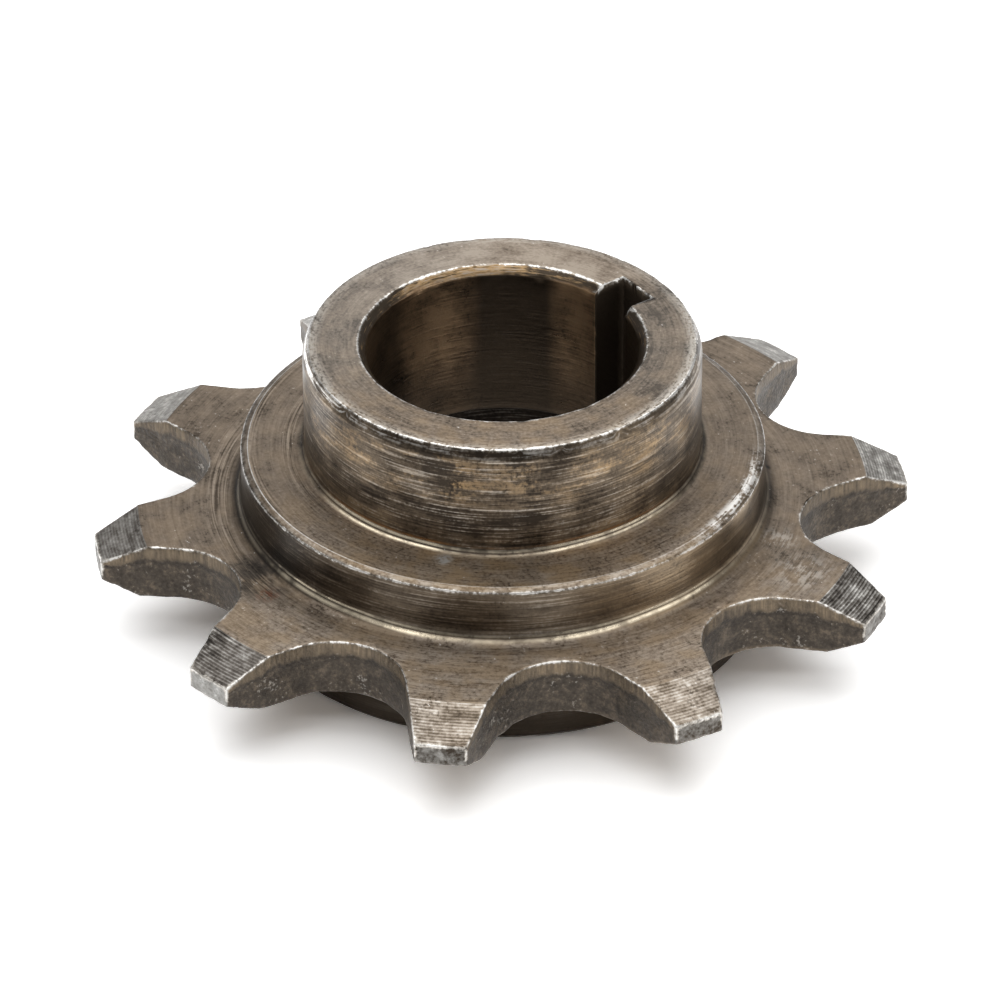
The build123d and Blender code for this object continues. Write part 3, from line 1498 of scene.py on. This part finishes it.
        # Painted shade: a dark line between the hub fillet's two highlight lines.
        coat.paint(hub * turn.near(0.66, 0.05) * 0.75, self.dark_brown)
        coat.paint(hub * turn.near(0.84, 0.14) * patchy * 0.9, self.glow, -0.12)
        flange = site.corner(size.flange_radius, size.plate_top, size.rim_fillet, 0.15)
        turn = site.up - site.facing(Sheen.FLANGE_LINES_OUT) * 0.14
        # Darker at the flange fillet's foot, and a painted dark line between its highlight lines.
        coat.paint(flange * site.up.near(0.94, 0.12) * 0.3, self.dark_brown)
        coat.paint(flange * turn.near(0.5, 0.05) * 0.5, self.dark_brown)
        pair = turn.near(0.38, 0.12) * 0.7 + turn.near(0.64, 0.16)
        coat.paint(flange * pair * patchy, self.glow, -0.14)

    def chamfers(self, coat: Coat) -> None:
        """Lays silver ridges and brown grooves, broken and patchy, over the tooth chamfers.

        Args:
            coat: The coat, which grows.
        """
        site, graph = coat.site, coat.site.graph
        ribs = site.uneven(ridge=0.5) * (0.25 + site.rib * 0.75)
        broken = site.uneven(strokes=0.75, grain=0.5, rough=0.9) * (0.35 + site.rib * 0.65)
        shade = site.tone + ribs + broken
        warm = ((0.05, self.dark_brown), (0.36, self.umber), (0.64, self.light), (0.85, self.silver))
        cool = ((0.05, self.pitch), (0.36, self.iron), (0.64, self.ash), (0.85, self.bright))
        cool_share = 0.8 - site.facing(Sheen.WARM_TEETH) * 0.8
        metal = graph.blend(cool_share, graph.ramp(shade, warm), graph.ramp(shade, cool))
        coat.paint(site.cone, metal, 0.06)
        burnt = site.spot(self.burn) * (site.strokes + site.rough - 0.5).step(0.66, 0.4)
        coat.paint(site.cone * (burnt * 1.3).clamp() * 0.75, self.black)
        coat.relief = coat.relief + site.cone * site.uneven(lines=1.2) * site.rib

    def gap_walls(self, coat: Coat) -> None:
        """Lays a sheared band with upright streaks above a rough torn zone over the blanked walls.

        Args:
            coat: The coat, which grows.
        """
        site, graph = coat.site, coat.site.graph
        upright = graph.noise(graph.vector(site.along * 6.0, site.drop * 1.6, 0.0)) - 0.5
        wander = graph.noise(graph.vector(site.along * 0.9, 0.0, 0.0), rough=0.5)
        shear = 0.46 + upright * 1.3 + site.uneven(mottle=0.8, grain=0.4)
        shear = graph.ramp(shear, ((0.1, self.deep), (0.5, self.sheared), (0.95, self.gold)))
        tear = 0.46 + site.uneven(rough=1.5, grain=1.2)
        tear = graph.ramp(tear, ((0.1, self.dark_brown), (0.5, self.torn), (0.9, self.umber)))
        edge = site.drop + (wander - 0.5) * 0.3 + upright * 0.16
        border = (edge.step(0.18, 0.32) + wander.step(0.5, 0.62) * 0.4).clamp()
        coat.paint(site.wall, graph.blend(border, shear, tear), 0.14)
        coat.paint(site.wall * edge.near(0.3, 0.07) * 0.35, self.black)
        nicks = (site.grain + site.uneven(mottle=1.1)).step(0.7, 0.84)
        coat.paint(site.wall * border * nicks * 0.4, self.silver)
        coat.relief = coat.relief * (1 - site.wall) + site.wall * site.grain * 3.0

    def bore(self, coat: Coat) -> None:
        """Lays dark oil with bronze gleams, a painted reflection, over the bore, painted shade
        towards its foot, and gilt over the chamfer at its mouth.

        Args:
            coat: The coat, which grows.
        """
        site, size = coat.site, self.sizes
        # Painted reflection: bronze gleams in three directions round the bore.
        gleam = site.facing(Sheen.BORE_LEFT) + site.facing(Sheen.BORE_RIGHT)
        gleam = gleam + site.facing(Sheen.BORE_NEAR) * 0.25
        streaked = (0.74 + site.uneven(lines=1.2, mottle=1.8, grain=0.6)).clamp()
        gleam = gleam * 1.12 * streaked * (0.25 + site.z.step(9.0, 12.5) * 0.75)
        inside = site.radius.step(size.bore_radius + 0.3, size.bore_radius + 0.05) * site.upright
        coat.paint(inside * 0.92, site.graph.blend(gleam + 0.03, self.deep, self.honey))
        # Painted shade: the bore darkens towards the relief.
        low = site.z.step(size.relief_depth + 3.3, size.relief_depth + 0.3)
        coat.paint(inside * low * 0.35, self.dark_brown)
        outer = size.bore_radius + size.bore_chamfer_reach
        foot = size.hub_top - size.bore_chamfer_drop
        mouth = site.radius.step(outer + 0.03, outer - 0.03) * site.z.step(foot - 0.05, foot + 0.02)
        shine = site.strokes + site.lines - 0.84
        # Painted highlight: the gilt of the mouth is lighter in two directions.
        shine = shine + site.facing(Sheen.MOUTH_LEFT) * 0.36 + site.facing(Sheen.MOUTH_RIGHT) * 0.12
        gilt = site.graph.ramp(shine, ((0.3, self.deep), (0.5, self.gilt), (0.75, self.light)))
        coat.paint(mouth * (1 - site.upright) * 0.85, gilt)

    def recesses(self, coat: Coat) -> None:
        """Paints shade into the keyway, the relief below the bore and everything under the plate.

        Args:
            coat: The coat, which grows.
        """
        site, size = coat.site, self.sizes
        half, floor = size.keyway_width / 2, size.keyway_floor
        slot = site.x.size().step(half + 0.06, half + 0.01) * site.y.step(0.0, 1.0)
        slot = slot * site.radius.step(floor + 0.3, floor + 0.2)
        # Painted shade in the keyway.
        coat.paint(slot * site.upright, self.deep, 0.25)
        inside = site.radius.step(size.relief_radius + 0.6, size.relief_radius + 0.4)
        relief = inside * site.z.step(size.relief_depth + 0.2, size.relief_depth - 0.1)
        # Painted shade: the relief below the bore is painted near black.
        coat.paint(relief * 0.75, self.black, 0.2)
        below = site.z.step(size.plate_bottom + 0.2, size.plate_bottom - 0.1)
        below = below * site.radius.step(size.boss_radius + 1.45, size.boss_radius + 1.05)
        # Painted shade under the plate, strongest on the boss's wall.
        coat.paint(below * (0.4 + site.upright * 0.45), self.dark_brown, 0.1)

    def tooth_ends(self, coat: Coat) -> None:
        """Greys the tooth ends, each lighter or darker as the real one is, with a painted highlight
        on the first tooth's end.

        Args:
            coat: The coat, which grows.
        """
        site, tip = coat.site, self.sizes.tip_radius
        grey = 0.37 + site.uneven(rough=1.1, grain=0.5) + site.facing(Sheen.PALE_TOOTH_END) * 0.3
        grey = grey - site.facing(Sheen.DARK_TOOTH_END) * 0.08
        # Painted highlight: the end of the first tooth is painted much lighter.
        grey = grey + site.facing(Sheen.POLISHED_TOOTH_END) * 0.5
        stops = ((0.2, self.dark_brown), (0.5, self.slate), (0.8, self.ash), (1.0, self.bright))
        end = site.radius.step(tip - 0.1, tip - 0.05) * site.upright
        coat.paint(end * 0.92, site.graph.ramp(grey, stops), 0.08)

    def hub_rim(self, coat: Coat) -> None:
        """Brightens the hub's outer rim with a rubbed halo and glints along its chamfer, both partly
        wear and partly painted highlight.

        Args:
            coat: The coat, which grows.
        """
        site, size = coat.site, self.sizes
        halo = site.radius.step(size.hub_radius - 1.1, size.hub_radius - 0.3) * site.face
        halo = halo * site.z.near(size.hub_top, 0.3)
        # Painted highlight: the rubbed halo is stronger to the right and the left.
        sides = site.facing(Sheen.HALO_RIGHT) * 0.6 + site.facing(Sheen.HALO_LEFT) * 0.3
        halo = halo * (0.4 + sides) * (site.strokes + site.uneven(grain=0.8)).step(0.25, 0.6)
        coat.paint(halo, self.silver, -0.1)
        slant = site.radius.near(size.hub_radius - size.hub_chamfer_reach / 2, 0.16)
        slant = slant * site.z.near(size.hub_top - size.hub_chamfer_drop / 2, 0.34)
        coat.paint(slant * 0.15, self.dark_brown)
        broken = (site.lines + site.uneven(grain=0.18, rough=0.18, mottle=0.15)).step(0.5, 0.64)
        # Painted highlight: the glints are strongest on the chamfer's left.
        coat.paint(slant * (0.3 + site.facing(Sheen.HUB_GLINTS)) * broken, self.bright, -0.1)

    def flange_rim(self, coat: Coat) -> None:
        """Brightens the flange's rim with a rubbed band, a bright edge that is lighter on the left
        as painted highlight, and one long scuff.

        Args:
            coat: The coat, which grows.
        """
        site, size = coat.site, self.sizes
        inner = size.flange_radius - size.flange_chamfer_reach
        rim = site.z.near(size.flange_top, 0.22)
        rubbed = (site.strokes + site.uneven(grain=0.36, rough=0.36, mottle=0.3)).step(0.42, 0.66)
        band = site.radius.step(inner - 0.07, inner + 0.01) * rim * rubbed
        coat.paint(band * 0.27, self.silver, -0.05)
        broken = (0.7 + site.uneven(grain=0.9, rough=0.9, mottle=0.75)).clamp()
        # Painted highlight: the bright edge is strongest on the left.
        edge = site.radius.near(inner, 0.05) * (0.35 + site.facing(Sheen.FLANGE_GLINTS) * 0.65)
        coat.paint(edge * rim * broken, self.bright, -0.08)
        scuff = site.radius.step(inner - 0.55, inner - 0.05) * site.z.near(size.flange_top, 0.4)
        scuff = scuff * site.facing(Sheen.SCUFF)
        scratched = (site.lines + site.uneven(grain=0.54, rough=0.54, mottle=0.45)).step(0.42, 0.6)
        coat.paint(scuff * scratched * site.rough.step(0.38, 0.52) * 0.9, self.bright, -0.05)

    def sharp_edges(self, coat: Coat) -> None:
        """Brightens the worn edges, most of all at the tooth tips, broken by nicks.

        Args:
            coat: The coat, which grows.
        """
        site, tip = coat.site, self.sizes.tip_radius
        nicked = site.uneven(grain=0.6, rough=0.6, mottle=0.5)
        wear = site.edge + nicked
        coat.paint((wear + nicked * 0.2).step(0.6, 0.95) * site.worn * 0.4, self.silver, -0.04)
        ends = site.radius.step(tip - 0.8, tip - 0.3) * wear.step(0.55, 0.85)
        coat.paint(ends * site.worn * 0.7, self.silver)
        coat.paint(wear.step(0.84, 0.95) * site.worn * 0.85, self.bright, -0.08)

    def specks(self, coat: Coat) -> None:
        """Scatters dark specks and tiny glints over everything but the gap walls.

        Args:
            coat: The coat, which grows.
        """
        site = coat.site
        clean = 1 - site.wall
        dark = (site.grain + site.uneven(mottle=0.7)).step(0.36, 0.22) * clean
        dark = dark * (1 - site.hub_top * 0.6) * (1 - site.upright * 0.4)
        coat.paint(dark * 0.36, self.black, 0.12)
        glints = (site.grain - site.uneven(rough=0.4)).step(0.72, 0.8) * clean
        coat.paint(glints * (1 - site.upright) * 0.6, self.bright)

    def stains(self, coat: Coat) -> None:
        """Puts the rust, grime, pale spot, pit and rubs where the real part has them.

        Args:
            coat: The coat, which grows.
        """
        site = coat.site
        coat.paint(site.spot(self.rust_stain) * site.grain.step(0.4, 0.6) * 0.8, self.rust, 0.2)
        grime = site.spot(self.grime) * (site.mottle * 0.5 + site.strokes * 0.5).step(0.62, 0.4)
        coat.paint((grime * 1.5).clamp() * 0.7, self.pitch, 0.1)
        pale = (site.spot(self.pale_spot) * 1.6).clamp()
        flaked = (site.rough * 0.5 + site.grain * 0.5).step(0.36, 0.56)
        coat.paint(pale * flaked * 0.85, self.ash, 0.2)
        coat.paint(site.spot(self.pit), self.black)
        rubs = (site.spot(self.tooth_rub) + site.spot(self.plate_rub)) * site.face
        rubs = rubs * (site.rough * 0.6 + site.strokes * 0.4).step(0.46, 0.58)
        coat.paint(rubs * 0.5, self.silver)


@dataclass(frozen=True)
class PaleFloor:
    """A white table top, which the camera and reflections see as brightly lit."""

    colour: Colour = tint(231, 231, 231)
    seen: Colour = (1.5, 1.5, 1.5, 1.0)

    def build(self) -> bpy.types.Material:
        """Makes the material.

        Returns:
            The finished material.
        """
        graph = Graph.start("pale_floor")
        rays = graph.node("ShaderNodeLightPath", {}, {})
        names = ("Is Camera Ray", "Is Glossy Ray", "Is Transmission Ray")
        camera, glossy, through = (Signal(graph, rays.outputs[name]) for name in names)
        colour = graph.blend((camera + glossy + through).clamp(), self.colour, self.seen)
        shader = graph.node("ShaderNodeBsdfDiffuse", {}, {"Color": colour, "Roughness": 0.0})
        return graph.finish(shader.outputs[0])


@dataclass(frozen=True)
class SoftBox:
    """A flat lamp that faces a point."""

    name: str
    place: Place
    width: float
    height: float
    power: float
    aim: Place = (0.0, 0.0, 0.008)

    def build(self) -> None:
        """Adds the lamp."""
        lamp = bpy.data.lights.new(self.name, "AREA")
        lamp.shape = "RECTANGLE"
        lamp.size = self.width
        lamp.size_y = self.height
        lamp.energy = self.power
        holder = bpy.data.objects.new(self.name, lamp)
        bpy.context.scene.collection.objects.link(holder)
        holder.location = self.place
        way = Vector(self.aim) - Vector(self.place)
        holder.rotation_euler = way.to_track_quat("-Z", "Y").to_euler()


@dataclass(frozen=True)
class Studio:
    """Floor, lamps, surrounding light and the camera at the photograph's angle."""

    camera_place: Place = (0.27784520, -0.20093812, 0.23908006)
    camera_target: Place = (-0.00026087, -0.00036170, 0.00639366)
    camera_roll: float = -0.318374
    lens: float = 270.5735
    sensor: float = 36.0
    nearest: float = 0.02
    farthest: float = 20.0
    floor_size: float = 6.0
    surround: float = 0.38

    def build(self) -> None:
        """Sets up the whole studio."""
        self.floor()
        self.lamps()
        self.world()
        self.camera()
        bpy.context.scene.view_settings.view_transform = "Standard"

    def floor(self) -> None:
        """Adds the table top that the sprocket stands on."""
        start_piece("floor")
        bpy.ops.mesh.primitive_plane_add(size=self.floor_size, location=(0, 0, 0))
        table = bpy.context.object
        table.name = "floor"
        table.data.materials.append(PaleFloor().build())

    def lamps(self) -> None:
        """Adds the soft boxes."""
        boxes = (
            SoftBox("overhead", (-0.09, 0.02, 0.8), 1.15, 1.15, 6.4),
            SoftBox("back", (-0.709, 0.606, 0.755), 0.5, 0.35, 0.7),
            SoftBox("front", (0.371, -0.27, 0.62), 1.0, 0.09, 0.8),
            SoftBox("right", (0.5, 0.35, 0.35), 0.4, 0.4, 0.5),
        )
        for box in boxes:
            box.build()

    def world(self) -> None:
        """Surrounds the part with soft white light."""
        world = bpy.data.worlds.new("studio")
        world.use_nodes = True
        background = world.node_tree.nodes["Background"]
        background.inputs["Color"].default_value = (1.0, 1.0, 1.0, 1.0)
        background.inputs["Strength"].default_value = self.surround
        bpy.context.scene.world = world

    def camera(self) -> None:
        """Places the camera as the photograph was taken."""
        lens = bpy.data.cameras.new("camera")
        lens.lens = self.lens
        lens.sensor_width = self.sensor
        lens.clip_start = self.nearest
        lens.clip_end = self.farthest
        holder = bpy.data.objects.new("camera", lens)
        bpy.context.scene.collection.objects.link(holder)
        place, target = Vector(self.camera_place), Vector(self.camera_target)
        forward = (target - place).normalized()
        right = forward.cross(Vector((0, 0, 1))).normalized()
        up = right.cross(forward)
        roll = radians(self.camera_roll)
        across = right * cos(roll) + up * sin(roll)
        upward = up * cos(roll) - right * sin(roll)
        turned = Matrix((across, upward, -forward)).transposed().to_4x4()
        holder.matrix_world = Matrix.Translation(place) @ turned
        bpy.context.scene.camera = holder


def dress(piece: bpy.types.Object, sizes: SprocketSizes) -> None:
    """Smooths the shading, brings the piece to metres and gives it its finish and its place.

    Args:
        piece: The worn sprocket, in millimetres.
        sizes: The sprocket's sizes.
    """
    take_up(piece, "finish")
    piece.data.transform(Matrix.Scale(MILLIMETRE, 4))
    bpy.ops.object.shade_smooth()
    even = piece.modifiers.new("shading", "WEIGHTED_NORMAL")
    even.weight = FACE_WEIGHT
    bpy.ops.object.modifier_apply(modifier=even.name)
    piece.data.materials.clear()
    piece.data.materials.append(WornSteel(sizes).build())
    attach(piece, "root")
    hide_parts("sprocket")


def main() -> None:
    """Builds the studio and the sprocket and reports each piece."""
    logging.basicConfig(level=logging.INFO, format="%(message)s")
    sizes = SprocketSizes()
    tooth = ToothForm(sizes)
    body = SprocketBody(sizes, tooth, TurnedSection(sizes, tooth))
    Studio().build()
    piece = body.build()
    wear = Weathering(sizes, tooth)
    wear.note_edges(piece)
    body.soften_edges(piece)
    wear.apply(piece)
    dress(piece, sizes)
    LOG.info("%s: %d faces", piece.name, len(piece.data.polygons))


if __name__ == "__main__":
    main()
